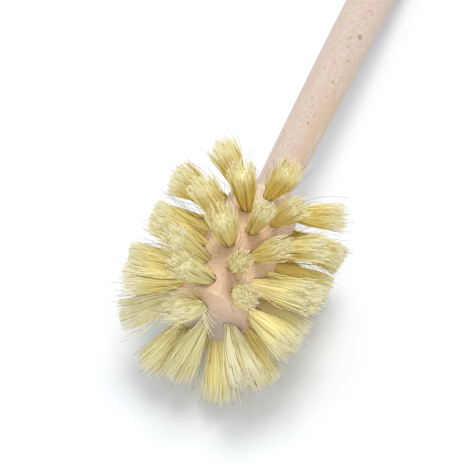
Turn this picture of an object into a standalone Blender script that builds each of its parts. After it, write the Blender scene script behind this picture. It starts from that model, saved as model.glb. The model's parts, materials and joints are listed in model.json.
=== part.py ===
"""A toilet brush of turned beech, set with staggered tufts of plant fibre.

The brush is laid out along its own axis, which is the Z axis of the empty that carries
it: the nose is at zero and the handle's end is the highest. The empty then lays it down
as it rests on a table, on its lowest bristles and on the end of its handle.
Lengths are in metres and angles in radians.
"""

import math
import random

import bmesh
import bpy
from mathutils import Matrix, Vector

# Gap between a piece and the piece that it sits in or on
FIT_GAP = 0.0003

# Head core, a turned cylinder with a flat nose and a sloping back shoulder
CORE_RADIUS = 0.0165
CORE_SIDES = 48
NOSE_FILLET = 0.0014
NOSE_FILLET_STEPS = 2
SHOULDER_LENGTH = 0.0045
SHOULDER_RADIUS = 0.0122

# Rings of tufts round the core, counted from the nose
RING_PITCH = 0.0105
NOSE_MARGIN = 0.0058
BACK_MARGIN = 0.0085
TUFTS_PER_RING = 8
FIRST_ANGLE = math.radians(17)
RING_LEANS = tuple(math.radians(degrees) for degrees in (30, 20, 15, 4, 5, 6))

# Tufts set slantwise in the flat nose, in line with those of every second ring: which
# place of the ring each is in line with, and its distance from the axis as a share of
# the core's radius
NOSE_TUFT_PLACES = (3, 5, 8)
NOSE_TUFT_SHARES = (0.68, 0.56, 0.37)
NOSE_TUFT_LEAN = math.radians(43)

# Blind holes drilled for the tufts
HOLE_DEPTH = 0.0062
NOSE_HOLE_DEPTH = 0.004
HOLE_SIDES = 12

# One tuft: a bound root in its hole, and nine strands that fan out from it
ROOT_RADIUS = 0.0026
ROOT_SIDES = 8
TUFT_LENGTH = 0.025
TUFT_TIP_RADIUS = 0.0068
STRAND_GAP = 0.0003
CENTRE_STRAND_SHARE = 0.46
TIP_THIN_SHARE = 0.88
TIP_SHIFT_SHARE = 0.05
LENGTH_SPREAD_SHARE = 0.02
SWAY_SPREAD_SHARE = 0.04
SEED = 7

# Tufts that stand clearly out of line: how far their ends sway sideways and to the
# nose, as shares of their length
SWAY_SHARES = {
    "tuft_ring1_1": (-0.15, 0.06),
    "tuft_ring1_2": (-0.03, -0.02),
    "tuft_ring1_4": (-0.2, 0.22),
    "tuft_ring1_5": (-0.03, 0.24),
    "tuft_ring1_6": (-0.13, 0.1),
    "tuft_ring1_7": (-0.18, 0.04),
    "tuft_ring1_8": (-0.2, 0.02),
    "tuft_ring2_1": (0.08, 0.14),
    "tuft_ring2_2": (0.28, -0.23),
    "tuft_ring2_3": (-0.32, 0.03),
    "tuft_ring2_8": (0.02, 0.06),
    "tuft_ring3_1": (-0.04, 0),
    "tuft_ring3_2": (0.08, -0.06),
    "tuft_ring3_8": (0.08, 0.02),
    "tuft_ring4_1": (0.04, 0.18),
    "tuft_ring4_3": (0, -0.16),
    "tuft_ring4_8": (0.08, 0.02),
    "tuft_ring5_1": (-0.08, 0.14),
    "tuft_ring5_7": (0.02, -0.05),
    "tuft_ring5_8": (0.02, 0),
    "tuft_ring6_1": (0.1, 0),
    "tuft_ring6_2": (0.12, -0.06),
    "tuft_ring6_8": (0.09, -0.12),
    "tuft_nose_1": (-0.08, 0.2),
    "tuft_nose_2": (0.07, 0),
    "tuft_nose_3": (0.13, 0.11),
}

# Tufts that fan out less than the rest, and tufts that are longer, as shares of the usual
WIDTH_SHARES = {
    "tuft_ring1_1": 0.8,
    "tuft_ring1_8": 0.86,
    "tuft_ring2_1": 0.72,
    "tuft_ring2_8": 0.88,
    "tuft_ring3_1": 0.72,
    "tuft_ring4_1": 0.72,
    "tuft_ring5_1": 0.76,
    "tuft_ring6_1": 0.92,
    "tuft_ring6_2": 0.92,
    "tuft_nose_3": 0.88,
}
LENGTH_SHARES = {
    "tuft_ring1_4": 1.15,
    "tuft_ring1_5": 1.13,
    "tuft_ring2_2": 1.06,
    "tuft_ring5_7": 1.05,
}

# Handle, turned in one piece with the tenon that is glued into the core
HANDLE_LENGTH = 0.292
HANDLE_SIDES = 40
NECK_RADIUS = 0.008
GRIP_RADIUS = 0.0118
END_RADIUS = 0.0108
GRIP_SHARE = 0.75
SWELL_STEPS = 9
TAPER_STEPS = 4
END_FILLET = 0.0042
END_FILLET_STEPS = 4
TENON_RADIUS = 0.006
TENON_LENGTH = 0.036
TENON_CHAMFER = 0.001

# How far the lowest bristles give way under the brush as it lies
BRISTLE_PRESS = 0.0008
TILT_LIMIT = math.radians(45)
TILT_HALVINGS = 40

# Sizes worked out from those above
CORE_LENGTH = NOSE_MARGIN + RING_PITCH * (len(RING_LEANS) - 1) + BACK_MARGIN
HOLE_RADIUS = (ROOT_RADIUS + FIT_GAP) / math.cos(math.pi / HOLE_SIDES)
NECK_STATION = CORE_LENGTH + FIT_GAP
END_STATION = NECK_STATION + HANDLE_LENGTH


def new_material(name, colour, roughness):
    """Return a Principled material of one colour."""
    material = bpy.data.materials.new(name)
    material.use_nodes = True
    shader = material.node_tree.nodes["Principled BSDF"]
    shader.inputs["Base Color"].default_value = (*colour, 1)
    shader.inputs["Roughness"].default_value = roughness
    shader.inputs["Metallic"].default_value = 0
    return material


def new_object(name, bm, material, parent, placement=Matrix()):
    """Turn a bmesh into a named object that rides on its parent."""
    bmesh.ops.recalc_face_normals(bm, faces=bm.faces)
    mesh = bpy.data.meshes.new(name)
    bm.to_mesh(mesh)
    bm.free()
    if material:
        mesh.materials.append(material)
    piece = bpy.data.objects.new(name, mesh)
    bpy.context.scene.collection.objects.link(piece)
    piece.parent = parent
    piece.matrix_local = placement
    return piece


def turned(bm, outline, sides, placement=Matrix()):
    """Add a closed turned shape to bm from its (station, radius) points, flat at both ends."""
    rings = []
    for station, radius in outline:
        seat = placement @ Matrix.Translation((0, 0, station))
        circle = bmesh.ops.create_circle(bm, segments=sides, radius=radius, matrix=seat)
        rings.append(circle["verts"])
    for lower, upper in zip(rings, rings[1:]):
        for here in range(sides):
            after = (here + 1) % sides
            bm.faces.new((lower[here], lower[after], upper[after], upper[here]))
    bm.faces.new(rings[0])
    bm.faces.new(rings[-1])


def quarter_round(station, radius, fillet, steps, outward):
    """Return the outline points of a rounded edge between a flat end and a turned side.

    The end lies at station, and outward is 1 where it is the far end and -1 where it is
    the near one. The points run from the side to the end.
    """
    points = []
    for step in range(steps + 1):
        turn = math.pi / 2 * step / steps
        along = station + outward * fillet * (math.sin(turn) - 1)
        points.append((along, radius + fillet * (math.cos(turn) - 1)))
    return points


def radial(angle):
    """Return the direction away from the axis at an angle from the brush's upper side."""
    return Vector((math.sin(angle), -math.cos(angle), 0))


def seat_of(mouth, angle, lean):
    """Return the placement of a hole and its tuft: Z points out, leaning to the nose."""
    side = Vector((math.cos(angle), math.sin(angle), 0))
    out = radial(angle) * math.cos(lean) - Vector((0, 0, 1)) * math.sin(lean)
    turn = Matrix((side, out.cross(side), out)).transposed()
    return Matrix.Translation(mouth) @ turn.to_4x4()


def tuft_seats():
    """Return each tuft's name, placement, hole depth and the height of its hole's rim.

    A slanting hole's rim is highest on one side, and the tuft is bound up to there.
    """
    seats = []
    step = math.tau / TUFTS_PER_RING
    for ring, lean in enumerate(RING_LEANS):
        station = NOSE_MARGIN + RING_PITCH * ring
        stagger = step / 2 if ring % 2 == 0 else 0
        rim = ROOT_RADIUS * math.tan(lean)
        for place in range(TUFTS_PER_RING):
            angle = FIRST_ANGLE + stagger + step * place
            mouth = radial(angle) * CORE_RADIUS + Vector((0, 0, station))
            name = f"tuft_ring{ring + 1}_{place + 1}"
            seats.append((name, seat_of(mouth, angle, lean), HOLE_DEPTH, rim))
    rim = ROOT_RADIUS / math.tan(NOSE_TUFT_LEAN)
    for number, (place, share) in enumerate(zip(NOSE_TUFT_PLACES, NOSE_TUFT_SHARES)):
        angle = FIRST_ANGLE + step * (place - 1)
        seat = seat_of(radial(angle) * CORE_RADIUS * share, angle, NOSE_TUFT_LEAN)
        seats.append((f"tuft_nose_{number + 1}", seat, NOSE_HOLE_DEPTH, rim))
    return seats


def make_core(seats, material, parent):
    """Make the head core, with its blind tuft holes and the socket for the tenon."""
    nose = quarter_round(0, CORE_RADIUS, NOSE_FILLET, NOSE_FILLET_STEPS, -1)
    outline = list(reversed(nose))
    outline.append((CORE_LENGTH - SHOULDER_LENGTH, CORE_RADIUS))
    outline.append((CORE_LENGTH, SHOULDER_RADIUS))
    bm = bmesh.new()
    turned(bm, outline, CORE_SIDES)
    core = new_object("head_core", bm, material, parent)

    drill = bmesh.new()
    for _, seat, depth, _ in seats:
        turned(drill, ((-depth, HOLE_RADIUS), (HOLE_DEPTH, HOLE_RADIUS)), HOLE_SIDES, seat)
    socket_floor = CORE_LENGTH - TENON_LENGTH - FIT_GAP
    socket_radius = TENON_RADIUS + FIT_GAP
    socket_outline = ((socket_floor, socket_radius), (CORE_LENGTH + HOLE_DEPTH, socket_radius))
    turned(drill, socket_outline, HANDLE_SIDES)
    cutter = new_object("hole_cutter", drill, None, parent)
    cutter.hide_render = True
    cutter.display_type = "WIRE"
    cut = core.modifiers.new("drilled holes", "BOOLEAN")
    cut.operation = "DIFFERENCE"
    cut.object = cutter
    return core


def handle_radius(share):
    """Return the grip's radius at a share of its length: a swell, then a slight taper."""
    if share <= GRIP_SHARE:
        rise = math.sin(math.pi / 2 * share / GRIP_SHARE)
        return NECK_RADIUS + (GRIP_RADIUS - NECK_RADIUS) * rise
    fall = ((share - GRIP_SHARE) / (1 - GRIP_SHARE)) ** 2
    return GRIP_RADIUS + (END_RADIUS - GRIP_RADIUS) * fall


def make_handle(material, parent):
    """Make the tapered handle and its tenon as one turned piece."""
    tenon_end = CORE_LENGTH - TENON_LENGTH
    outline = [
        (tenon_end, TENON_RADIUS - TENON_CHAMFER),
        (tenon_end + TENON_CHAMFER, TENON_RADIUS),
        (NECK_STATION, TENON_RADIUS),
    ]
    shares = [GRIP_SHARE * step / SWELL_STEPS for step in range(SWELL_STEPS + 1)]
    last_share = 1 - END_FILLET / HANDLE_LENGTH
    for step in range(1, TAPER_STEPS):
        shares.append(GRIP_SHARE + (last_share - GRIP_SHARE) * step / TAPER_STEPS)
    for share in shares:
        outline.append((NECK_STATION + HANDLE_LENGTH * share, handle_radius(share)))
    outline += quarter_round(END_STATION, END_RADIUS, END_FILLET, END_FILLET_STEPS, 1)
    bm = bmesh.new()
    turned(bm, outline, HANDLE_SIDES)
    return new_object("handle", bm, material, parent)


def strand_cells(bm):
    """Add the root's top to bm as nine faces, one for each strand, and return them.

    A square lies in the middle, with a four-sided cell on each of its sides and a
    three-sided cell at each of its corners.
    """
    rim = bmesh.ops.create_circle(bm, segments=ROOT_SIDES, radius=ROOT_RADIUS)["verts"]
    corner_radius = ROOT_RADIUS * CENTRE_STRAND_SHARE
    quarter_turn = Matrix.Rotation(math.pi / ROOT_SIDES, 4, "Z")
    square = bmesh.ops.create_circle(
        bm, segments=ROOT_SIDES // 2, radius=corner_radius, matrix=quarter_turn
    )["verts"]
    cells = [bm.faces.new(square)]
    for corner in range(len(square)):
        before = square[corner]
        after = square[(corner + 1) % len(square)]
        first = rim[2 * corner]
        second = rim[2 * corner + 1]
        third = rim[(2 * corner + 2) % len(rim)]
        cells.append(bm.faces.new((before, first, second)))
        cells.append(bm.faces.new((before, second, third, after)))
    return rim, cells


def tuft_sway(name, dice):
    """Return how far the end of a tuft sways in its seat's own X and Y, per unit of height."""
    if name in SWAY_SHARES:
        side, forward = SWAY_SHARES[name]
    else:
        side = dice.uniform(-SWAY_SPREAD_SHARE, SWAY_SPREAD_SHARE)
        forward = dice.uniform(-SWAY_SPREAD_SHARE, SWAY_SPREAD_SHARE)
    return Vector((side, -forward, 0))


def grow_strands(bm, cells, name, rim, dice):
    """Extrude each cell into a strand that fans out, sways with its tuft and thins."""
    bmesh.ops.inset_individual(bm, faces=cells, thickness=STRAND_GAP / 2)
    sway = tuft_sway(name, dice)
    height = TUFT_LENGTH * LENGTH_SHARES.get(name, 1) / math.hypot(1, sway.x, sway.y)
    tip_radius = TUFT_TIP_RADIUS * WIDTH_SHARES.get(name, 1)
    flare = (tip_radius / ROOT_RADIUS - 1) / (height - rim)
    shift = ROOT_RADIUS * TIP_SHIFT_SHARE
    for strand in bmesh.ops.extrude_discrete_faces(bm, faces=cells)["faces"]:
        base = strand.calc_center_median()
        reach = height * (1 + dice.uniform(-LENGTH_SPREAD_SHARE, LENGTH_SPREAD_SHARE))
        spread = 1 + flare * (reach - rim)
        centre = Vector((base.x, base.y, 0)) * spread + (Vector((0, 0, 1)) + sway) * reach
        centre += Vector((dice.uniform(-shift, shift), dice.uniform(-shift, shift), 0))
        for corner in strand.verts:
            corner.co = centre + (corner.co - base) * spread * TIP_THIN_SHARE


def make_tuft(place, dice, material, parent, table):
    """Make one tuft in its seat: root, strands, and the flat where it meets the table."""
    name, seat, depth, rim = place
    bm = bmesh.new()
    edge, cells = strand_cells(bm)
    twist = Matrix.Rotation(dice.uniform(0, math.tau / ROOT_SIDES), 3, "Z")
    bmesh.ops.rotate(bm, verts=bm.verts, matrix=twist)
    bmesh.ops.translate(bm, verts=bm.verts, vec=(0, 0, rim))
    bottom = []
    for corner in edge:
        bottom.append(bm.verts.new((corner.co.x, corner.co.y, FIT_GAP - depth)))
    for here in range(len(edge)):
        after = (here + 1) % len(edge)
        bm.faces.new((edge[here], edge[after], bottom[after], bottom[here]))
    bm.faces.new(bottom)
    grow_strands(bm, cells, name, rim, dice)
    trim_to_table(bm, seat, table)
    return new_object(name, bm, material, parent, seat)


def trim_to_table(bm, placement, table):
    """Cut off what reaches below the table and close each cut with a flat face."""
    point, normal = table
    home = placement.inverted()
    bmesh.ops.bisect_plane(
        bm,
        geom=bm.verts[:] + bm.edges[:] + bm.faces[:],
        plane_co=home @ point,
        plane_no=home.to_3x3() @ normal,
        clear_inner=True,
    )
    open_edges = [edge for edge in bm.edges if edge.is_boundary]
    if open_edges:
        bmesh.ops.holes_fill(bm, edges=open_edges, sides=0)


def table_plane(tilt):
    """Return a point and the normal of the table that the tilted handle's end lies on.

    Both are in the brush's own axes. The tilt is how far the handle's end hangs down.
    """
    normal = Vector((0, -math.cos(tilt), -math.sin(tilt)))
    drop = END_RADIUS * math.cos(tilt)
    point = Vector((0, 0, END_STATION - END_FILLET)) - normal * drop
    return point, normal


def pressed_depth(seats, tilt):
    """Return how deep the lowest tuft would reach below the table at a tilt."""
    point, normal = table_plane(tilt)
    depths = []
    for _, seat, _, _ in seats:
        end = seat @ Vector((0, 0, TUFT_LENGTH))
        out = seat.to_3x3() @ Vector((0, 0, 1))
        edge_drop = TUFT_TIP_RADIUS * math.sqrt(1 - min(1, out.dot(normal) ** 2))
        depths.append(edge_drop - (end - point).dot(normal))
    return max(depths)


def resting_tilt(seats):
    """Return the tilt at which the lowest bristles just give way as they should."""
    low = 0
    high = TILT_LIMIT
    for _ in range(TILT_HALVINGS):
        middle = (low + high) / 2
        if pressed_depth(seats, middle) > BRISTLE_PRESS:
            low = middle
        else:
            high = middle
    return high


def stand_on_origin(carrier, pieces):
    """Move the carrier so that the middle of the model's foot is the origin."""
    bpy.context.view_layer.update()
    corners = []
    for piece in pieces:
        corners += [piece.matrix_world @ vertex.co for vertex in piece.data.vertices]
    low = Vector([min(corner[axis] for corner in corners) for axis in range(3)])
    high = Vector([max(corner[axis] for corner in corners) for axis in range(3)])
    middle = (low + high) / 2
    carrier.location -= Vector((middle.x, middle.y, low.z))


def main():
    for leftover in list(bpy.data.objects):
        bpy.data.objects.remove(leftover)
    wood_handle = new_material("beech_handle", (0.75, 0.57, 0.43), 0.55)
    wood_core = new_material("beech_core", (0.76, 0.54, 0.38), 0.6)
    fibre = new_material("plant_fibre", (0.72, 0.63, 0.33), 0.6)

    seats = tuft_seats()
    tilt = resting_tilt(seats)
    carrier = bpy.data.objects.new("resting_pose", None)
    bpy.context.scene.collection.objects.link(carrier)
    carrier.rotation_euler = (-(math.pi / 2 + tilt), 0, 0)

    table = table_plane(tilt)
    pieces = [make_handle(wood_handle, carrier), make_core(seats, wood_core, carrier)]
    dice = random.Random(SEED)
    for place in seats:
        pieces.append(make_tuft(place, dice, fibre, carrier, table))
    for piece in pieces[:2]:
        piece.data.shade_smooth()
        piece.data.set_sharp_from_angle(angle=math.radians(30))
    stand_on_origin(carrier, pieces)


main()
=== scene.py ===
"""The look of the toilet brush: turned beech, with tufts of plant fibre.

The brush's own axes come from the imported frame. Z runs along the brush, with the nose at
zero and the handle's end highest, and -Y is the side that lies uppermost. Lengths are in
metres and angles in radians.
"""

import json
import math

import bmesh
import bpy
import numpy as np
from mathutils import Matrix, Vector


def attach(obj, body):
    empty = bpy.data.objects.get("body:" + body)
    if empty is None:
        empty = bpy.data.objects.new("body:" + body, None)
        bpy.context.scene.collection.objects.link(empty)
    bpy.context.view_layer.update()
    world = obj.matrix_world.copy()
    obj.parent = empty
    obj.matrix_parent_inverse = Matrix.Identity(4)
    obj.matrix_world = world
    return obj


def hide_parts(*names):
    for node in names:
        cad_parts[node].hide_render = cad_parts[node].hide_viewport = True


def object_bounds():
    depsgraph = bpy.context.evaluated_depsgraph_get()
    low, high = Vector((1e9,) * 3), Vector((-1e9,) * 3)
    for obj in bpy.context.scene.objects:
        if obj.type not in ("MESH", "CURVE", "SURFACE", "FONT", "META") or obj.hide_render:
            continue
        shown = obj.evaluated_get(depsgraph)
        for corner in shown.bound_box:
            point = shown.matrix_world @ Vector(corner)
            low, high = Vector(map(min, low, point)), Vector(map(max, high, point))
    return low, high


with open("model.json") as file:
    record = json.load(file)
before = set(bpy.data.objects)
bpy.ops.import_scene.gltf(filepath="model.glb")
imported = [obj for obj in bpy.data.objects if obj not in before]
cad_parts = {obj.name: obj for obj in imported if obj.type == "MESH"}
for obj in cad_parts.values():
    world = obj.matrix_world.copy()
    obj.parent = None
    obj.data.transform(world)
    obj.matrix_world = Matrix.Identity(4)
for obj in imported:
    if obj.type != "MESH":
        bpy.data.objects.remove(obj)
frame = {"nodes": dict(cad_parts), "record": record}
cad_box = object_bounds()

# Camera, as the photograph was taken, with its sensor and lens in millimetres
CAMERA_PLACE = (0.1195, -0.4003, 0.4591)
CAMERA_TURN = tuple(math.radians(degrees) for degrees in (36.23, 2.16, 21.41))
CAMERA_SENSOR = 36
CAMERA_LENS = 91.6

# Light, and how often it may bounce on its way between the fibres
WHITE = (1, 1, 1, 1)
SKY_LEVEL = 0.87
SKY_COLOUR = (0.93, 0.965, 1, 1)
SUN_LEVEL = 1.45
SUN_COLOUR = (1, 0.97, 0.93)
SUN_SPREAD = math.radians(24)
SUN_FROM = (0.05, 0.36, 2.0)
DIFFUSE_BOUNCES = 12
ALL_BOUNCES = 16

# Floor: the colour that lights the brush from below, and the one that is seen
FLOOR_SIZE = 6.0
FLOOR_COLOUR = (0.88, 0.88, 0.88, 1)
FLOOR_COLOUR_SEEN = (0.83, 0.85, 0.89, 1)

# Turned core, and the tufts set in it, as they are in the part's source
FIT_GAP = 0.0003
CORE_RADIUS = 0.0165
CORE_LENGTH = 0.0668
NOSE_FILLET = 0.0014
SHOULDER_LENGTH = 0.0045
SHOULDER_RADIUS = 0.0122
TENON_RADIUS = 0.006
TENON_LENGTH = 0.036
RING_PITCH = 0.0105
NOSE_MARGIN = 0.0058
TUFTS_PER_RING = 8
FIRST_ANGLE = math.radians(17)
RING_LEANS = tuple(math.radians(degrees) for degrees in (30, 20, 15, 4, 5, 6))
NOSE_TUFT_PLACES = (3, 5, 8)
NOSE_TUFT_SHARES = (0.68, 0.56, 0.37)
NOSE_TUFT_LEAN = math.radians(43)
HOLE_DEPTH = 0.0062
NOSE_HOLE_DEPTH = 0.004
HOLE_RADIUS = 0.0029

# How finely the wood is turned
CORE_SIDES = 128
HOLE_SIDES = 28
HANDLE_SIDES = 96
FILLET_STEPS = 6
CREASE_ANGLE = math.radians(30)

# Decimal places to which the solids' corners, and their stations, are rounded
CORNER_PLACES = 6
STATION_PLACES = 4

# Fibres of one tuft
FIBRES = 165
FIBRE_POINTS = 7
FIBRE_SIDES = 5
FIBRE_RADII = (0.00011, 0.00024)
FIBRE_TAPER_SHARE = 0.3
CURL = 0.00018
LENGTH_SPREAD_SHARE = 0.022
ROOT_RADIUS = 0.0026

# End of one solid tuft: where it begins, and how far the fibres fan out beside it
TIP_SHARE = 0.9
FAN_SHARE = 1.1

# End of one tuft of fibres: how soon it fans out, and how uneven and domed it is
BULGE = 1.4
TIP_JITTER = 0.0005
DOME_SHARE = 0.12

# Locks that draw fibres together, and fibres that stray
LOCKS = 36
LOCK_PULL_SHARE = 0.25
LOCK_TONE_SHARE = 0.2
STRAY_SHARE = 0.07
STRAY_REACH = 0.0022

# Tufts whose fibres stray more than the rest: how many times as many, and as far
SPLAYS = {
    "tuft_nose_1": 2.5,
    "tuft_nose_2": 4.0,
    "tuft_nose_3": 3.5,
    "tuft_ring1_3": 3.0,
    "tuft_ring1_4": 5.0,
    "tuft_ring1_5": 4.0,
    "tuft_ring1_6": 3.5,
    "tuft_ring2_3": 2.5,
    "tuft_ring2_6": 2.5,
}

# Frayed fibres that hang from a tuft over the nose: where they end, in the brush's own axes
FRAYED = {
    "tuft_nose_3": (
        (0.0010, 0.0096, -0.0014),
        (0.0017, 0.0122, -0.0012),
        (0.0027, 0.0083, -0.0019),
        (0.0034, 0.0051, -0.0010),
        (0.0035, 0.0104, -0.0015),
        (0.0054, -0.0028, -0.0015),
        (0.0047, 0.0008, -0.0021),
        (0.0014, 0.0058, -0.0024),
    ),
}

# Loose hairs round a tuft: how many, how thick, how bent, how far out they end, and how dark, a
# painted shade for pale fibres that show dark against the white
HAIRS = 10
HAIR_RADII = (0.00005, 0.0001)
HAIR_CURL = 0.0008
HAIR_WIDTH_SHARES = (0.95, 1.6)
HAIR_LENGTH_SHARES = (0.8, 1.12)
HAIR_SHADE_TONE = (0, 0.06)

# How golden a tuft is: more towards the handle, with some chance
GOLD_SHIFT = 0.2
GOLD_SPREAD = 0.15

# Tufts that are made paler instead, and how much: partly their own bleached colour, and partly
# painted light that lifts tufts lying in the shade of their neighbours, such as ring2_3, ring2_6
# and ring3_3
BLEACHED_AND_PAINTED_LIGHT = {
    "tuft_nose_1": 0.38,
    "tuft_nose_3": 0.15,
    "tuft_ring1_6": 0.35,
    "tuft_ring2_3": 0.3,
    "tuft_ring2_6": 0.35,
    "tuft_ring3_3": 0.3,
}

# Heart of one tuft, the packed fibres inside: share of the length, and of the tuft's width
HEART_SIDES = 160
HEART_SHARES = (
    (0, 0.92), (0.1, 0.92), (0.2, 0.92), (0.32, 0.91), (0.45, 0.88),
    (0.57, 0.84), (0.69, 0.75), (0.78, 0.6), (0.85, 0.38), (0.89, 0.1),
)
HEART_FLUTE_SHARE = 0.06

# Bake map of one tuft: a cell for each strand, and one row for the heart
MAP_NAME = "OFBake"
MAP_COLUMNS = 50
MAP_MARGIN_SHARE = 0.1
MAP_SIDE_SHARE = 0.85
MAP_END_SHARES = (0.25, 0.75)
MAP_END_RADIUS_SHARE = 0.04

# How far a loose fibre may stand out beyond the solids, and above the table it lies on
BOX_MARGIN = 0.0022
TABLE_CLEARANCE = 0.0001

# Chance, and the turn between neighbours that spreads points evenly over a disc
SEED = 11
GOLDEN_TURN = math.pi * (3 - math.sqrt(5))


def srgb(red, green, blue):
    """Return a colour of 0 to 255 values as the linear colour that Blender uses."""
    def linear(value):
        share = value / 255
        return share / 12.92 if share <= 0.04045 else ((share + 0.055) / 1.055) ** 2.4

    return linear(red), linear(green), linear(blue), 1


# Camera, light and floor


def add_camera():
    """Put the camera where the photograph was taken from."""
    data = bpy.data.cameras.new("camera")
    data.sensor_width = CAMERA_SENSOR
    data.lens = CAMERA_LENS
    camera = bpy.data.objects.new("camera", data)
    camera.location = CAMERA_PLACE
    camera.rotation_euler = CAMERA_TURN
    bpy.context.scene.collection.objects.link(camera)
    bpy.context.scene.camera = camera


def seen_directly(nodes, links):
    """Return a value that is 1 for what is seen straight, in a reflection or through glass."""
    path = nodes.new("ShaderNodeLightPath")
    total = path.outputs["Is Camera Ray"]
    for name in ("Is Glossy Ray", "Is Transmission Ray"):
        either = nodes.new("ShaderNodeMath")
        either.operation = "MAXIMUM"
        links.new(total, either.inputs[0])
        links.new(path.outputs[name], either.inputs[1])
        total = either.outputs["Value"]
    return total


def add_sky():
    """Light the brush evenly from all round, before a white background."""
    world = bpy.data.worlds.new("studio")
    world.use_nodes = True
    nodes = world.node_tree.nodes
    links = world.node_tree.links
    sky = nodes["Background"]
    sky.inputs["Color"].default_value = SKY_COLOUR
    sky.inputs["Strength"].default_value = SKY_LEVEL
    seen = nodes.new("ShaderNodeBackground")
    seen.inputs["Color"].default_value = WHITE
    mix = nodes.new("ShaderNodeMixShader")
    links.new(seen_directly(nodes, links), mix.inputs["Fac"])
    links.new(sky.outputs["Background"], mix.inputs[1])
    links.new(seen.outputs["Background"], mix.inputs[2])
    links.new(mix.outputs["Shader"], nodes["World Output"].inputs["Surface"])
    bpy.context.scene.world = world


def add_sun():
    """Add one large soft lamp overhead, and let its light reach deep into the tufts."""
    lamp = bpy.data.lights.new("sun", "SUN")
    lamp.energy = SUN_LEVEL
    lamp.color = SUN_COLOUR
    lamp.angle = SUN_SPREAD
    sun = bpy.data.objects.new("sun", lamp)
    sun.rotation_euler = Vector(SUN_FROM).to_track_quat("Z", "Y").to_euler()
    bpy.context.scene.collection.objects.link(sun)
    bpy.context.scene.cycles.diffuse_bounces = DIFFUSE_BOUNCES
    bpy.context.scene.cycles.max_bounces = ALL_BOUNCES


def add_floor():
    """Add a white floor that keeps the brush's shadow."""
    bm = bmesh.new()
    bmesh.ops.create_grid(bm, x_segments=1, y_segments=1, size=FLOOR_SIZE / 2)
    mesh = bpy.data.meshes.new("floor")
    bm.to_mesh(mesh)
    bm.free()
    white = Nodes("floor_white")
    seen = seen_directly(white.tree.nodes, white.tree.links)
    white.set(white.shader, Base_Color=white.blend(seen, FLOOR_COLOUR, FLOOR_COLOUR_SEEN))
    white.set(white.shader, Roughness=1.0, Specular_IOR_Level=0.0)
    mesh.materials.append(white.material)
    floor = bpy.data.objects.new("floor", mesh)
    bpy.context.scene.collection.objects.link(floor)


# Materials: a short way to build them


class Nodes:
    """The nodes of one material, with short ways to add and link them."""

    def __init__(self, name):
        self.material = bpy.data.materials.new(name)
        self.material.use_nodes = True
        self.tree = self.material.node_tree
        self.shader = self.tree.nodes["Principled BSDF"]

    def feed(self, socket, value):
        """Feed an input from another node's output or from a plain value."""
        if isinstance(value, bpy.types.NodeSocket):
            self.tree.links.new(value, socket)
        else:
            socket.default_value = value

    def set(self, node, **values):
        """Feed a node's inputs by name."""
        for name, value in values.items():
            self.feed(node.inputs[name.replace("_", " ")], value)

    def add(self, kind, output, **values):
        """Add a node, feed its inputs and return one of its outputs."""
        node = self.tree.nodes.new("ShaderNode" + kind)
        self.set(node, **values)
        return node.outputs[output]

    def stored(self, name):
        """Return a number that is stored on the mesh's corners."""
        node = self.tree.nodes.new("ShaderNodeAttribute")
        node.attribute_name = name
        return node.outputs["Fac"]

    def axes(self):
        """Return the X, Y and Z of each place in the piece's own axes."""
        place = self.tree.nodes.new("ShaderNodeSeparateXYZ")
        self.set(place, Vector=self.add("TexCoord", "Object"))
        return [place.outputs[axis] for axis in "XYZ"]

    def maths(self, operation, first, second=0.0):
        """Add a Math node of two values and return its output."""
        node = self.tree.nodes.new("ShaderNodeMath")
        node.operation = operation
        self.feed(node.inputs[0], first)
        self.feed(node.inputs[1], second)
        return node.outputs["Value"]

    def times(self, first, *others):
        """Return the product of some values."""
        for other in others:
            first = self.maths("MULTIPLY", first, other)
        return first

    def squares(self, first, second):
        """Return the sum of the squares of two values."""
        powers = [self.maths("POWER", value, 2.0) for value in (first, second)]
        return self.maths("ADD", *powers)

    def ramp(self, value, low, high):
        """Return a value that climbs smoothly from 0 at low to 1 at high."""
        node = self.tree.nodes.new("ShaderNodeMapRange")
        node.interpolation_type = "SMOOTHSTEP"
        self.set(node, Value=value, From_Min=low, From_Max=high)
        return node.outputs["Result"]

    def colours(self, value, stops):
        """Return the colour that a value picks from (place, colour) stops."""
        node = self.tree.nodes.new("ShaderNodeValToRGB")
        elements = node.color_ramp.elements
        while len(elements) < len(stops):
            elements.new(0.5)
        for element, (place, colour) in zip(elements, stops):
            element.position = place
            element.color = colour
        self.set(node, Fac=value)
        return node.outputs["Color"]

    def blend(self, share, first, second, mode="MIX"):
        """Return two colours mixed by a share."""
        node = self.tree.nodes.new("ShaderNodeMix")
        node.data_type = "RGBA"
        node.blend_type = mode
        for name, value in (("Factor", share), ("A", first), ("B", second)):
            sockets = [socket for socket in node.inputs if socket.enabled and socket.name == name]
            self.feed(sockets[0], value)
        return next(socket for socket in node.outputs if socket.enabled)

    def stretched(self, across, along):
        """Return the piece's own coordinates, divided by a size across and along its Z."""
        scale = (1 / across, 1 / across, 1 / along)
        return self.add("Mapping", "Vector", Vector=self.add("TexCoord", "Object"), Scale=scale)

    def noise(self, size, detail, roughness=0.5):
        """Return a noise whose spots have a size across and along the piece's Z."""
        place = self.stretched(*size)
        finish = {"Detail": detail, "Roughness": roughness}
        return self.add("TexNoise", "Fac", Vector=place, Scale=1.0, **finish)


# Beech

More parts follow.
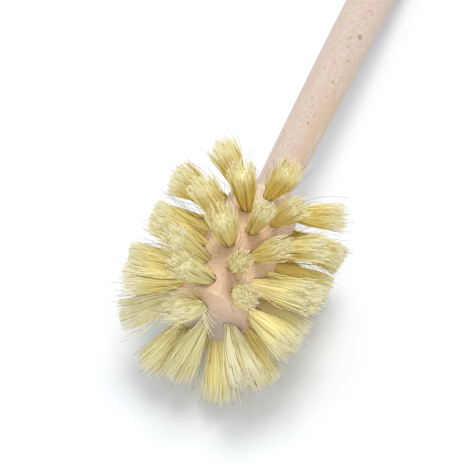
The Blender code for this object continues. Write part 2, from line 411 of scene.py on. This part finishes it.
# Size of each mark across and along the grain, the noise it sets in at, and its strength
MOTTLE_SIZE = (0.0007, 0.0018)
MOTTLE_RANGE = (0.3, 0.68)
MOTTLE_ROUGHNESS = 0.6
PATCH_SIZE = (0.0045, 0.014)
PATCH_RANGE = (0.45, 0.68)
PATCH_SHARE = 0.75
STREAK_SIZE = (0.002, 0.035)
STREAK_RANGE = (0.5, 0.72)
STREAK_SHARE = 0.5
FLECK_SIZE = (0.0013, 0.006)
FLECK_RANGE = (0.26, 0.12)
FLECK_SHARE = 0.6
GRAIN_SIZE = (0.00035, 0.003)
GRAIN_STOPS = ((0.3, (0.93, 0.92, 0.91, 1)), (0.7, (1.03, 1.03, 1.03, 1)))
GRAIN_HEIGHT_SHARE = 0.6
FINE_DETAIL = 3.0
BROAD_DETAIL = 2.0

# Matt finish of the wood, and how deep its grain is
BEECH_ROUGHNESS = 0.45
BEECH_ROUGHNESS_SPREAD = 0.25
BEECH_SPECULAR = 0.35
GRAIN_BUMP = 0.35
GRAIN_DEPTH = 0.0001

# Colours of the wood, pale, warm and pink, then of its marks, and the painted shade that darkens
# its holes
HANDLE_TONES = (srgb(211, 197, 184), srgb(195, 173, 155), srgb(207, 180, 167))
CORE_FRONT_TONES = (srgb(234, 211, 187), srgb(219, 184, 152), srgb(226, 193, 170))
CORE_BACK_TONES = (srgb(232, 216, 201), srgb(216, 192, 171), srgb(226, 200, 184))
NOSE_TONES = (srgb(243, 220, 195), srgb(229, 193, 160), srgb(235, 201, 176))
# Painted shade: greyer tones for the lower part of the nose face, which lies in shade
NOSE_SHADE_TONES = (srgb(198, 184, 175), srgb(179, 160, 147), srgb(206, 173, 154))
HANDLE_MARK = srgb(160, 118, 84)
CORE_MARK = srgb(160, 116, 84)
HOLE_SHADE_COLOUR = srgb(120, 88, 56)

# Share of the ray flecks that shows
HANDLE_FLECKS = 0.55
CORE_FLECKS = 0.6

# Where the core turns from its front tones to its back ones, and how soon the nose and the
# painted shade in the holes fade
CORE_FADE = (0.03, 0.062)
NOSE_FADE = 0.0022
HOLE_FADE = 3 * FIT_GAP

# Where the nose face turns from its own tones to painted shade, greyer towards its lower edge, as
# shares of its radius
NOSE_SHADE_SHARES = (-0.8, 0.4)

# Knots in the handle: station, angle, half width, half length, depth, and 1 for a ring
KNOTS = (
    (0.2011, math.radians(32), 0.0018, 0.0023, 0.8, 1),
    (0.1828, math.radians(37), 0.0015, 0.0020, 0.75, 0),
    (0.1782, math.radians(14), 0.0006, 0.0014, 0.5, 0),
    (0.1718, math.radians(20), 0.0012, 0.0008, 0.55, 0),
    (0.1637, math.radians(38), 0.0009, 0.0010, 0.6, 0),
    (0.1457, math.radians(28), 0.0010, 0.0010, 0.6, 0),
    (0.1144, math.radians(19), 0.0008, 0.0012, 0.55, 0),
)

# Handle's radius among its knots, the soft edge of a knot, and the shape of an open ring
KNOT_REACH = 0.0107
KNOT_EDGE = (1.0, 0.3)
RING_MIDDLE = 0.75
RING_EDGE = (0.3, 0.1)
RING_OPENING = (-0.3, 0.4)

# Warm band of darker heartwood along the handle: where it starts and ends, and its clouds
BAND_STATIONS = (0.172, 0.14)
BAND_ANGLES = tuple(math.radians(degrees) for degrees in (12, 48, 120, 80))
BAND_COLOUR = srgb(206, 174, 142)
BAND_SHARE = 0.6
CLOUD_SIZE = (0.004, 0.02)
CLOUD_RANGE = (0.3, 0.6)


def beech_tone(wood, pale, warm, pink):
    """Return the colour of sanded beech: a fine mottle, pink patches and long streaks."""
    mottle = wood.noise(MOTTLE_SIZE, FINE_DETAIL, MOTTLE_ROUGHNESS)
    tone = wood.blend(wood.ramp(mottle, *MOTTLE_RANGE), warm, pale)
    patches = wood.ramp(wood.noise(PATCH_SIZE, BROAD_DETAIL), *PATCH_RANGE)
    tone = wood.blend(wood.times(patches, PATCH_SHARE), tone, pink)
    streaks = wood.ramp(wood.noise(STREAK_SIZE, FINE_DETAIL), *STREAK_RANGE)
    return wood.blend(wood.times(streaks, STREAK_SHARE), tone, warm)


def ray_flecks(wood, amount):
    """Return how strongly each place lies in one of the beech's short ray flecks."""
    place = wood.stretched(*FLECK_SIZE)
    cells = wood.add("TexVoronoi", "Distance", Vector=place, Scale=1.0)
    picks = wood.add("TexVoronoi", "Color", Vector=place, Scale=1.0)
    chosen = wood.add("SeparateColor", "Red", Color=picks)
    flecks = wood.times(wood.ramp(cells, *FLECK_RANGE), wood.ramp(chosen, 1 - amount, 1.0))
    return wood.times(flecks, FLECK_SHARE)


def knots(wood, turn, station):
    """Return how strongly each place on the handle is marked by a knot."""
    total = 0.0
    for middle, angle, width, length, depth, ring in KNOTS:
        across = wood.times(wood.maths("SUBTRACT", turn, angle), KNOT_REACH / width)
        along = wood.times(wood.maths("SUBTRACT", station, middle), 1 / length)
        squares = wood.squares(across, along)
        mark = wood.ramp(squares, *KNOT_EDGE)
        if ring:
            edge = wood.maths("ABSOLUTE", wood.maths("SUBTRACT", squares, RING_MIDDLE))
            mark = wood.times(wood.ramp(edge, *RING_EDGE), wood.ramp(along, *RING_OPENING))
        total = wood.maths("MAXIMUM", total, wood.times(mark, depth))
    return total


def warm_band(wood, turn, station):
    """Return how strongly each place on the handle lies in the band of heartwood."""
    start, full, end, fading = BAND_ANGLES
    round_it = wood.times(wood.ramp(turn, start, full), wood.ramp(turn, end, fading))
    cloud = wood.ramp(wood.noise(CLOUD_SIZE, BROAD_DETAIL), *CLOUD_RANGE)
    return wood.times(round_it, wood.ramp(station, *BAND_STATIONS), cloud, BAND_SHARE)


def finish_beech(wood, tone, marks, mark_colour):
    """Give a beech material its marks, its fine grain and its matt finish."""
    fine = wood.noise(GRAIN_SIZE, FINE_DETAIL)
    tone = wood.blend(marks, tone, mark_colour)
    tone = wood.blend(1.0, tone, wood.colours(fine, GRAIN_STOPS), "MULTIPLY")
    rough = wood.maths("ADD", wood.times(fine, BEECH_ROUGHNESS_SPREAD), BEECH_ROUGHNESS)
    height = wood.maths("SUBTRACT", wood.times(fine, GRAIN_HEIGHT_SHARE), marks)
    bump = wood.add("Bump", "Normal", Strength=GRAIN_BUMP, Distance=GRAIN_DEPTH, Height=height)
    wood.set(wood.shader, Base_Color=tone, Roughness=rough, Normal=bump)
    wood.set(wood.shader, Specular_IOR_Level=BEECH_SPECULAR)
    return wood.material


def make_handle_beech():
    """Make the handle's beech, with its warm band and its knots."""
    wood = Nodes("beech_handle")
    x, y, station = wood.axes()
    turn = wood.maths("ARCTAN2", x, wood.times(y, -1.0))
    tone = beech_tone(wood, *HANDLE_TONES)
    tone = wood.blend(warm_band(wood, turn, station), tone, BAND_COLOUR)
    marks = wood.maths("MAXIMUM", knots(wood, turn, station), ray_flecks(wood, HANDLE_FLECKS))
    return finish_beech(wood, tone, marks, HANDLE_MARK)


def make_core_beech():
    """Make the core's beech: peach, with painted shade greying the nose face's lower part and
    darkening the holes.
    """
    wood = Nodes("beech_core")
    x, y, station = wood.axes()
    front = beech_tone(wood, *CORE_FRONT_TONES)
    tone = wood.blend(wood.ramp(station, *CORE_FADE), front, beech_tone(wood, *CORE_BACK_TONES))
    # Painted shade: the nose face greys towards its lower edge, where it lies in shade
    nose_shade = wood.ramp(y, CORE_RADIUS * NOSE_SHADE_SHARES[0], CORE_RADIUS * NOSE_SHADE_SHARES[1])
    nose = wood.blend(nose_shade, beech_tone(wood, *NOSE_TONES), beech_tone(wood, *NOSE_SHADE_TONES))
    tone = wood.blend(wood.ramp(station, NOSE_FADE, 0), tone, nose)

    # Painted shade: the walls of the holes and the socket are painted dark brown from just below
    # their mouths
    reach = wood.maths("SQRT", wood.squares(x, y))
    shoulder = CORE_LENGTH - SHOULDER_LENGTH
    inside = wood.times(
        wood.ramp(reach, CORE_RADIUS - FIT_GAP, CORE_RADIUS - HOLE_FADE),
        wood.ramp(station, FIT_GAP, HOLE_FADE),
        wood.ramp(station, shoulder, shoulder - FIT_GAP),
    )
    tone = wood.blend(inside, tone, HOLE_SHADE_COLOUR)
    return finish_beech(wood, tone, ray_flecks(wood, CORE_FLECKS), CORE_MARK)


# Plant fibre

# Colour along a fibre, from its root to its cut end, in a pale tuft and in a golden one
PALE_STOPS = (
    (0.0, srgb(255, 252, 214)),
    (0.25, srgb(255, 253, 214)),
    (0.6, srgb(255, 252, 212)),
    (0.85, srgb(246, 243, 212)),
    (1.0, srgb(244, 241, 219)),
)
GOLD_STOPS = (
    (0.0, srgb(255, 240, 166)),
    (0.3, srgb(255, 241, 158)),
    (0.55, srgb(255, 244, 170)),
    (0.85, srgb(250, 243, 196)),
    (1.0, srgb(244, 240, 212)),
)
# Colour of the paler tufts: bleached, and painted light for tufts that lie in shade
BLEACH_AND_PAINTED_LIGHT_COLOUR = srgb(255, 255, 250)

# Tone of the single fibres and of the heart's flutes: most are clear, and the darkest few are
# partly the fibres' own tone and partly painted shade for the shaded gaps between strands and the
# heart's sunken grooves
TONE_AND_GAP_SHADE_STOPS = (
    (0.0, srgb(78, 68, 48)),
    (0.05, srgb(166, 140, 88)),
    (0.12, srgb(240, 226, 180)),
    (0.3, srgb(252, 249, 236)),
    (1.0, srgb(255, 255, 253)),
)

# Cloudiness and sheen of the fibres
SPOT_SIZE = (0.0006, 0.0006)
SPOT_STOPS = ((0.3, (0.96, 0.95, 0.92, 1)), (0.6, (1, 1, 1, 1)))
FIBRE_ROUGHNESS = 0.35
FIBRE_ROUGHNESS_SPREAD = 0.3
FIBRE_SPECULAR = 0.4


def make_fibre():
    """Make the plant fibre: straw to golden, paler at the cut end, with a few dark strands that
    are partly painted shade, and some tufts made paler, partly by painted light.
    """
    straw = Nodes("plant_fibre")
    along = straw.stored("along")
    gold = straw.stored("gold")
    body = straw.blend(gold, straw.colours(along, PALE_STOPS), straw.colours(along, GOLD_STOPS))
    # Paler tufts: partly bleached, partly painted light on tufts that lie in shade
    body = straw.blend(straw.ramp(gold, 0.0, -1.0), body, BLEACH_AND_PAINTED_LIGHT_COLOUR)
    colour = straw.blend(1.0, body, straw.colours(straw.stored("tone"), TONE_AND_GAP_SHADE_STOPS), "MULTIPLY")
    spots = straw.noise(SPOT_SIZE, BROAD_DETAIL)
    colour = straw.blend(1.0, colour, straw.colours(spots, SPOT_STOPS), "MULTIPLY")
    rough = straw.maths("ADD", straw.times(spots, FIBRE_ROUGHNESS_SPREAD), FIBRE_ROUGHNESS)
    straw.set(straw.shader, Base_Color=colour, Roughness=rough, Specular_IOR_Level=FIBRE_SPECULAR)
    return straw.material


# Wooden pieces


def corner_points(node):
    """Return the different corners of a CAD node, to a thousandth of a millimetre."""
    vertices = frame["nodes"][node].data.vertices
    return np.unique(np.round([vertex.co for vertex in vertices], CORNER_PLACES), axis=0)


def brush_placement():
    """Return the placement of the brush's own axes, from the CAD handle and core."""
    handle = corner_points("handle")
    along = handle @ np.array(frame["record"]["mounts"][0]["axis"])
    end = handle[along > along.max() - FIT_GAP].mean(axis=0)
    tenon = handle[along < along.min() + FIT_GAP].mean(axis=0)
    axis = Vector(end - tenon).normalized()
    nose = (corner_points("head_core") @ np.array(axis)).min()
    across = Vector((1, 0, 0))
    placement = Matrix((across, axis.cross(across), axis)).transposed().to_4x4()
    placement.translation = Vector(end) - axis * (end @ np.array(axis) - nose)
    return placement


def cad_outline(node):
    """Return the (station, radius) outline of a turned CAD node in the brush's own axes."""
    home = np.array(placement.inverted())
    points = corner_points(node) @ home[:3, :3].T + home[:3, 3]
    radii = {}
    for x, y, station in points:
        key = round(float(station), STATION_PLACES)
        radii[key] = max(radii.get(key, 0), math.hypot(x, y))
    return sorted(radii.items())


def core_outline():
    """Return the (station, radius) outline of the core, with the nose's edge rounded."""
    outline = []
    for step in range(FILLET_STEPS + 1):
        turn = math.pi / 2 * step / FILLET_STEPS
        radius = CORE_RADIUS + NOSE_FILLET * (math.sin(turn) - 1)
        outline.append((NOSE_FILLET * (1 - math.cos(turn)), radius))
    outline.append((CORE_LENGTH - SHOULDER_LENGTH, CORE_RADIUS))
    outline.append((CORE_LENGTH, SHOULDER_RADIUS))
    return outline


def turned(bm, outline, sides, seat=Matrix()):
    """Add a closed turned shape to bm from its (station, radius) points."""
    rings = []
    for station, radius in outline:
        centre = seat @ Matrix.Translation((0, 0, station))
        circle = bmesh.ops.create_circle(bm, segments=sides, radius=radius, matrix=centre)
        rings.append(circle["verts"])
    for lower, upper in zip(rings, rings[1:]):
        for here in range(sides):
            after = (here + 1) % sides
            bm.faces.new((lower[here], lower[after], upper[after], upper[here]))
    bm.faces.new(rings[0])
    bm.faces.new(rings[-1])


def mesh_of(bm, name):
    """Turn a bmesh into a mesh with all its faces turned outward."""
    bmesh.ops.recalc_face_normals(bm, faces=bm.faces)
    mesh = bpy.data.meshes.new(name)
    bm.to_mesh(mesh)
    bm.free()
    return mesh


def cut_away(blank, cutter, name):
    """Return the mesh that is left of one closed mesh when another is cut out of it."""
    objects = [bpy.data.objects.new(mesh.name, mesh) for mesh in (blank, cutter)]
    for scratch in objects:
        bpy.context.scene.collection.objects.link(scratch)
    cut = objects[0].modifiers.new("drilled holes", "BOOLEAN")
    cut.operation = "DIFFERENCE"
    cut.object = objects[1]
    bpy.context.view_layer.update()
    finished = objects[0].evaluated_get(bpy.context.evaluated_depsgraph_get())
    mesh = bpy.data.meshes.new_from_object(finished)
    mesh.name = name
    for scratch in objects:
        bpy.data.objects.remove(scratch)
    return mesh


def smooth(mesh):
    """Shade a turned mesh smoothly, with its edges kept crisp."""
    mesh.shade_smooth()
    mesh.set_sharp_from_angle(angle=CREASE_ANGLE)


def new_piece(name, mesh, material, node, seat=Matrix()):
    """Put a finished mesh in the scene in place of a CAD node."""
    mesh.materials.clear()
    mesh.materials.append(material)
    piece = bpy.data.objects.new(name, mesh)
    bpy.context.scene.collection.objects.link(piece)
    piece.matrix_world = seat
    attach(piece, "root")
    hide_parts(node)


def add_handle(material):
    """Add the handle with its tenon, turned on the CAD outline with many more sides."""
    bm = bmesh.new()
    turned(bm, cad_outline("handle"), HANDLE_SIDES)
    mesh = mesh_of(bm, "handle")
    smooth(mesh)
    new_piece("turned_handle", mesh, material, "handle", placement)


def add_core(seats, material):
    """Add the head core with a hole for every tuft and the socket for the tenon."""
    bm = bmesh.new()
    turned(bm, core_outline(), CORE_SIDES)
    drill = bmesh.new()
    for _, seat, depth, _ in seats:
        turned(drill, ((-depth, HOLE_RADIUS), (HOLE_DEPTH, HOLE_RADIUS)), HOLE_SIDES, seat)
    socket_radius = TENON_RADIUS + FIT_GAP
    socket_floor = CORE_LENGTH - TENON_LENGTH - FIT_GAP
    socket = ((socket_floor, socket_radius), (CORE_LENGTH + HOLE_DEPTH, socket_radius))
    turned(drill, socket, CORE_SIDES)
    mesh = cut_away(mesh_of(bm, "core_blank"), mesh_of(drill, "core_cutter"), "head_core")
    smooth(mesh)
    new_piece("turned_core", mesh, material, "head_core", placement)


# Where the tufts stand


def radial(angle):
    """Return the direction away from the axis at an angle from the brush's upper side."""
    return Vector((math.sin(angle), -math.cos(angle), 0))


def seat_of(mouth, angle, lean):
    """Return the placement of a hole and its tuft: Z points out, leaning to the nose."""
    side = Vector((math.cos(angle), math.sin(angle), 0))
    out = radial(angle) * math.cos(lean) - Vector((0, 0, 1)) * math.sin(lean)
    turn = Matrix((side, out.cross(side), out)).transposed()
    return Matrix.Translation(mouth) @ turn.to_4x4()


def tuft_seats():
    """Return each tuft's node, placement, hole depth and the tilt of its hole's rim."""
    seats = []
    step = math.tau / TUFTS_PER_RING
    for ring, lean in enumerate(RING_LEANS):
        station = NOSE_MARGIN + RING_PITCH * ring
        stagger = step / 2 if ring % 2 == 0 else 0
        for place in range(TUFTS_PER_RING):
            angle = FIRST_ANGLE + stagger + step * place
            mouth = radial(angle) * CORE_RADIUS + Vector((0, 0, station))
            name = f"tuft_ring{ring + 1}_{place + 1}"
            seats.append((name, seat_of(mouth, angle, lean), HOLE_DEPTH, -math.tan(lean)))
    for number, (place, share) in enumerate(zip(NOSE_TUFT_PLACES, NOSE_TUFT_SHARES)):
        angle = FIRST_ANGLE + step * (place - 1)
        seat = seat_of(radial(angle) * CORE_RADIUS * share, angle, NOSE_TUFT_LEAN)
        rim = math.tan(math.pi / 2 - NOSE_TUFT_LEAN)
        seats.append((f"tuft_nose_{number + 1}", seat, NOSE_HOLE_DEPTH, rim))
    return seats


def tuft_end(node, seat):
    """Return the middle of the CAD tuft's end and the fibres' radius there, in its own axes."""
    home = np.array((placement @ seat).inverted())
    points = corner_points(node) @ home[:3, :3].T + home[:3, 3]
    end = points[points[:, 2] > points[:, 2].max() * TIP_SHARE]
    low = end.min(axis=0)
    high = end.max(axis=0)
    return (low + high) / 2, float((high - low)[:2].mean()) / 2 * FAN_SHARE


def goldenness(node, seat, dice):
    """Return how golden a tuft is, from 0 to 1, or minus how much paler it is made, by bleaching
    and by painted light.
    """
    station = seat.translation.z / CORE_LENGTH
    gold = min(max(station + dice.normal(GOLD_SHIFT, GOLD_SPREAD), 0), 1)
    return -BLEACHED_AND_PAINTED_LIGHT[node] if node in BLEACHED_AND_PAINTED_LIGHT else gold


# Paths of the fibres


def sunflower(count, radius):
    """Return count points spread evenly over a disc."""
    order = np.arange(count) + 0.5
    reach = radius * np.sqrt(order / count)
    turn = order * GOLDEN_TURN
    return np.column_stack((reach * np.cos(turn), reach * np.sin(turn)))


def fanned(share):
    """Return how far a tuft has fanned out at a share of its length."""
    return 1 - (1 - share) ** BULGE


def fibre_ends(tip, width, splay, dice):
    """Return where the fibres of one tuft end, in its own axes, and the lock each is in."""
    spread = sunflower(FIBRES, width) + dice.normal(0, TIP_JITTER, (FIBRES, 2))
    middles = spread[dice.choice(FIBRES, LOCKS, replace=False)]
    locks = np.argmin(((spread[:, None] - middles) ** 2).sum(axis=2), axis=1)
    spread += (middles[locks] - spread) * dice.uniform(0, LOCK_PULL_SHARE, (FIBRES, 1))
    stray = dice.random((FIBRES, 1)) < STRAY_SHARE * splay
    spread += stray * dice.normal(0, STRAY_REACH * math.sqrt(splay), (FIBRES, 2))
    height = tip[2] * (1 + dice.normal(0, LENGTH_SPREAD_SHARE, FIBRES))
    height -= DOME_SHARE * (spread ** 2).sum(axis=1) / width
    return np.column_stack((spread + tip[:2], height)), locks


def fray(ends, root, seat, places):
    """Let the fibres that face some given places end there, and return which they are."""
    home = np.array(seat.inverted())
    frayed = []
    for place in places:
        aim = home[:3, :3] @ place + home[:3, 3]
        near = aim[:2] * (ROOT_RADIUS / np.linalg.norm(aim[:2]))
        gaps = ((root - near) ** 2).sum(axis=1)
        gaps[frayed] = np.inf
        frayed.append(int(np.argmin(gaps)))
        ends[frayed[-1]] = aim
    return frayed


def strand_paths(root, ends, depth, rim, curl, dice):
    """Return paths from the hole's floor to their ends, as an array of path, point, axis."""
    floor = np.column_stack((root, np.full(len(root), FIT_GAP - depth)))
    mouth = np.column_stack((root, np.maximum(root[:, 1] * rim, -depth / 2)))
    share = np.linspace(0, 1, FIBRE_POINTS - 1)[:, None]
    shares = np.hstack((fanned(share), fanned(share), share))
    bend = dice.normal(0, curl, (len(root), 1, 3)) * np.sin(math.pi * share)
    paths = mouth[:, None] + (ends - mouth)[:, None] * shares + bend
    return np.concatenate((floor[:, None], paths), axis=1)


def hair_paths(tip, width, depth, rim, dice):
    """Return the paths of the loose hairs round one tuft."""
    turns = dice.random(HAIRS) * math.tau
    root = np.column_stack((np.cos(turns), np.sin(turns))) * ROOT_RADIUS
    reach = width * dice.uniform(*HAIR_WIDTH_SHARES, (HAIRS, 1))
    height = tip[2] * dice.uniform(*HAIR_LENGTH_SHARES, HAIRS)
    ends = np.column_stack((root / ROOT_RADIUS * reach + tip[:2], height))
    return strand_paths(root, ends, depth, rim, HAIR_CURL, dice)


def heart_rings(tip, width, depth, rim, dice):
    """Return the rings of the packed fibres inside a tuft, and how far each side stands out."""
    turns = np.arange(HEART_SIDES) * (math.tau / HEART_SIDES)
    # A flute that sinks in also gets a dark tone below: painted shade in the heart's grooves
    flutes = dice.random(HEART_SIDES)
    reach = 1 + HEART_FLUTE_SHARE * (2 * flutes - 1)
    unit = np.column_stack((np.cos(turns) * reach, np.sin(turns) * reach, 0 * turns))
    rings = [unit * ROOT_RADIUS * HEART_SHARES[0][1] + (0, 0, FIT_GAP - depth)]
    for share, width_share in HEART_SHARES:
        radius = ROOT_RADIUS + (width - ROOT_RADIUS) * fanned(share)
        ring = unit * radius * width_share
        ring[:, 2] = np.maximum(ring[:, 1] * rim, -depth / 2) * (1 - share)
        rings.append(ring + tip * (fanned(share), fanned(share), share))
    return np.array(rings), flutes


def laid_down(paths, seat):
    """Carry paths to where the tuft lies, kept above the table and near the solids' box."""
    world = np.array(placement @ seat)
    points = paths @ world[:3, :3].T + world[:3, 3]
    low = np.array(cad_box[0]) - BOX_MARGIN
    low[2] = TABLE_CLEARANCE + FIBRE_RADII[1]
    return np.clip(points, low, np.array(cad_box[1]) + BOX_MARGIN)


# Meshes of the tufts


def strand_radii(along, dice):
    """Return the radius of each fibre and hair at each point of its path."""
    thick = dice.uniform(*FIBRE_RADII, (FIBRES, 1))
    thin = dice.uniform(*HAIR_RADII, (HAIRS, 1))
    return np.concatenate((thick, thin)) * (1 - FIBRE_TAPER_SHARE * along)


def strand_tones(locks, frayed, dice):
    """Return each strand's tone: alike within a lock, clear if frayed, and painted dark as shade
    for a hair.
    """
    tones = dice.random(LOCKS)[locks] * LOCK_TONE_SHARE
    tones += dice.random(FIBRES) * (1 - LOCK_TONE_SHARE)
    tones[frayed] = 1
    return np.concatenate((tones, dice.uniform(*HAIR_SHADE_TONE, HAIRS)))


def strand_tubes(paths, radii, dice):
    """Return corners of thin tubes round the paths, as an array of path, point, side, axis."""
    heading = np.gradient(paths, axis=1)
    heading /= np.linalg.norm(heading, axis=2, keepdims=True)
    first = np.cross(heading, (0.0, 1.0, 0.0))
    first /= np.linalg.norm(first, axis=2, keepdims=True)
    second = np.cross(heading, first)
    turns = np.arange(FIBRE_SIDES) * (math.tau / FIBRE_SIDES)
    turns = dice.random((len(paths), 1, 1)) * math.tau + turns
    ring = np.cos(turns)[..., None] * first[:, :, None]
    ring = ring + np.sin(turns)[..., None] * second[:, :, None]
    return paths[:, :, None] + radii[:, :, None, None] * ring


def tube_faces(shape, first=0):
    """Return the side and end faces of closed tubes, for a (tube, ring, side) shape."""
    corner = first + np.arange(math.prod(shape)).reshape(shape)
    after = np.roll(corner, -1, axis=2)
    sides = np.stack((corner[:, :-1], corner[:, 1:], after[:, 1:], after[:, :-1]), axis=-1)
    ends = np.concatenate((corner[:, 0], corner[:, -1, ::-1]))
    return sides.reshape(-1, 4).tolist(), ends.tolist()


def map_places(shape, low, size):
    """Return the bake map's places of closed tubes' side faces and end faces, in cells."""
    _, rings, sides = shape
    across = low[:, None, None, 0] + size[0] * np.arange(sides + 1) / sides
    up = low[:, None, None, 1] + size[1] * np.linspace(0, MAP_SIDE_SHARE, rings)[:, None]
    grid = np.stack(np.broadcast_arrays(across, up), axis=-1)
    near = (grid[:, :-1, :-1], grid[:, 1:, :-1], grid[:, 1:, 1:], grid[:, :-1, 1:])
    turns = np.arange(sides) * (math.tau / sides)
    circle = np.column_stack((np.cos(turns), np.sin(turns))) * MAP_END_RADIUS_SHARE
    ends = []
    for share in MAP_END_SHARES:
        middle = low + size * np.array((share, (1 + MAP_SIDE_SHARE) / 2))
        ends.append(middle[:, None] + size * circle)
    return np.stack(near, axis=-2).reshape(-1, 2), np.concatenate(ends).reshape(-1, 2)


def add_bake_map(mesh, tubes, heart):
    """Give a tuft's mesh a bake map in which every strand has a cell of its own."""
    count = len(tubes)
    rows = math.ceil(count / MAP_COLUMNS) + 1
    number = np.arange(count)
    low = np.column_stack((number % MAP_COLUMNS, number // MAP_COLUMNS)) + MAP_MARGIN_SHARE
    size = np.array((1, 1)) - 2 * MAP_MARGIN_SHARE
    sides, ends = map_places(tubes.shape[:3], low, size)
    low = np.array(((0, rows - 1),)) + MAP_MARGIN_SHARE
    size = np.array((MAP_COLUMNS, 1)) - 2 * MAP_MARGIN_SHARE
    heart_sides, heart_ends = map_places((1, *heart.shape[:2]), low, size)
    places = np.concatenate((sides, heart_sides, ends, heart_ends)) / (MAP_COLUMNS, rows)
    mesh.uv_layers.new(name=MAP_NAME).data.foreach_set("uv", places.ravel())


def tuft_mesh(name, tubes, heart):
    """Return the mesh of a tuft's strands and heart, with round sides and flat ends."""
    sides, caps = tube_faces(tubes.shape[:3])
    heart_sides, heart_caps = tube_faces((1, *heart.shape[:2]), tubes.size // 3)
    mesh = bpy.data.meshes.new(name)
    corners = np.concatenate((tubes.reshape(-1, 3), heart.reshape(-1, 3)))
    mesh.from_pydata(corners.tolist(), [], sides + heart_sides + caps + heart_caps)
    round_sides = [True] * (len(sides) + len(heart_sides))
    flat_ends = [False] * (len(caps) + len(heart_caps))
    mesh.polygons.foreach_set("use_smooth", round_sides + flat_ends)
    add_bake_map(mesh, tubes, heart)
    return mesh


def store(mesh, name, *parts):
    """Store one number for each corner of a mesh, from (values, corners) parts."""
    spread = [np.broadcast_to(values, corners.shape[:-1]).ravel() for values, corners in parts]
    attribute = mesh.attributes.new(name, "FLOAT", "POINT")
    attribute.data.foreach_set("value", np.concatenate(spread).astype(np.float32))


def add_tuft(node, seat, depth, rim, gold, material, dice):
    """Add one tuft of fibres in place of its CAD node."""
    tip, width = tuft_end(node, seat)
    ends, locks = fibre_ends(tip, width, SPLAYS.get(node, 1), dice)
    root = sunflower(FIBRES, ROOT_RADIUS)
    frayed = fray(ends, root, seat, FRAYED.get(node, ()))
    fibres = strand_paths(root, ends, depth, rim, CURL, dice)
    hairs = hair_paths(tip, width, depth, rim, dice)
    paths = laid_down(np.concatenate((fibres, hairs)), seat)
    along = np.concatenate(((0,), np.linspace(0, 1, FIBRE_POINTS - 1)))
    tubes = strand_tubes(paths, strand_radii(along, dice), dice)
    rings, flutes = heart_rings(tip, width, depth, rim, dice)
    heart = laid_down(rings, seat)
    heart_along = np.array((0, *(share for share, _ in HEART_SHARES)))

    mesh = tuft_mesh(node, tubes, heart)
    tones = strand_tones(locks, frayed, dice)
    store(mesh, "along", (along[None, :, None], tubes), (heart_along[:, None], heart))
    # The heart's sunken flutes take the darkest tones, painted shade in its grooves
    store(mesh, "tone", (tones[:, None, None], tubes), (flutes[None], heart))
    store(mesh, "gold", (gold, tubes), (gold, heart))
    new_piece(node.replace("tuft", "fibres"), mesh, material, node)


bpy.context.scene.view_settings.view_transform = "Standard"
add_camera()
add_sky()
add_sun()
add_floor()
placement = brush_placement()
seats = tuft_seats()
add_handle(make_handle_beech())
add_core(seats, make_core_beech())
fibre = make_fibre()
for number, (node, seat, depth, rim) in enumerate(seats):
    dice = np.random.default_rng(SEED + number)
    gold = goldenness(node, seat, dice)
    add_tuft(node, seat, depth, rim, gold, fibre, dice)
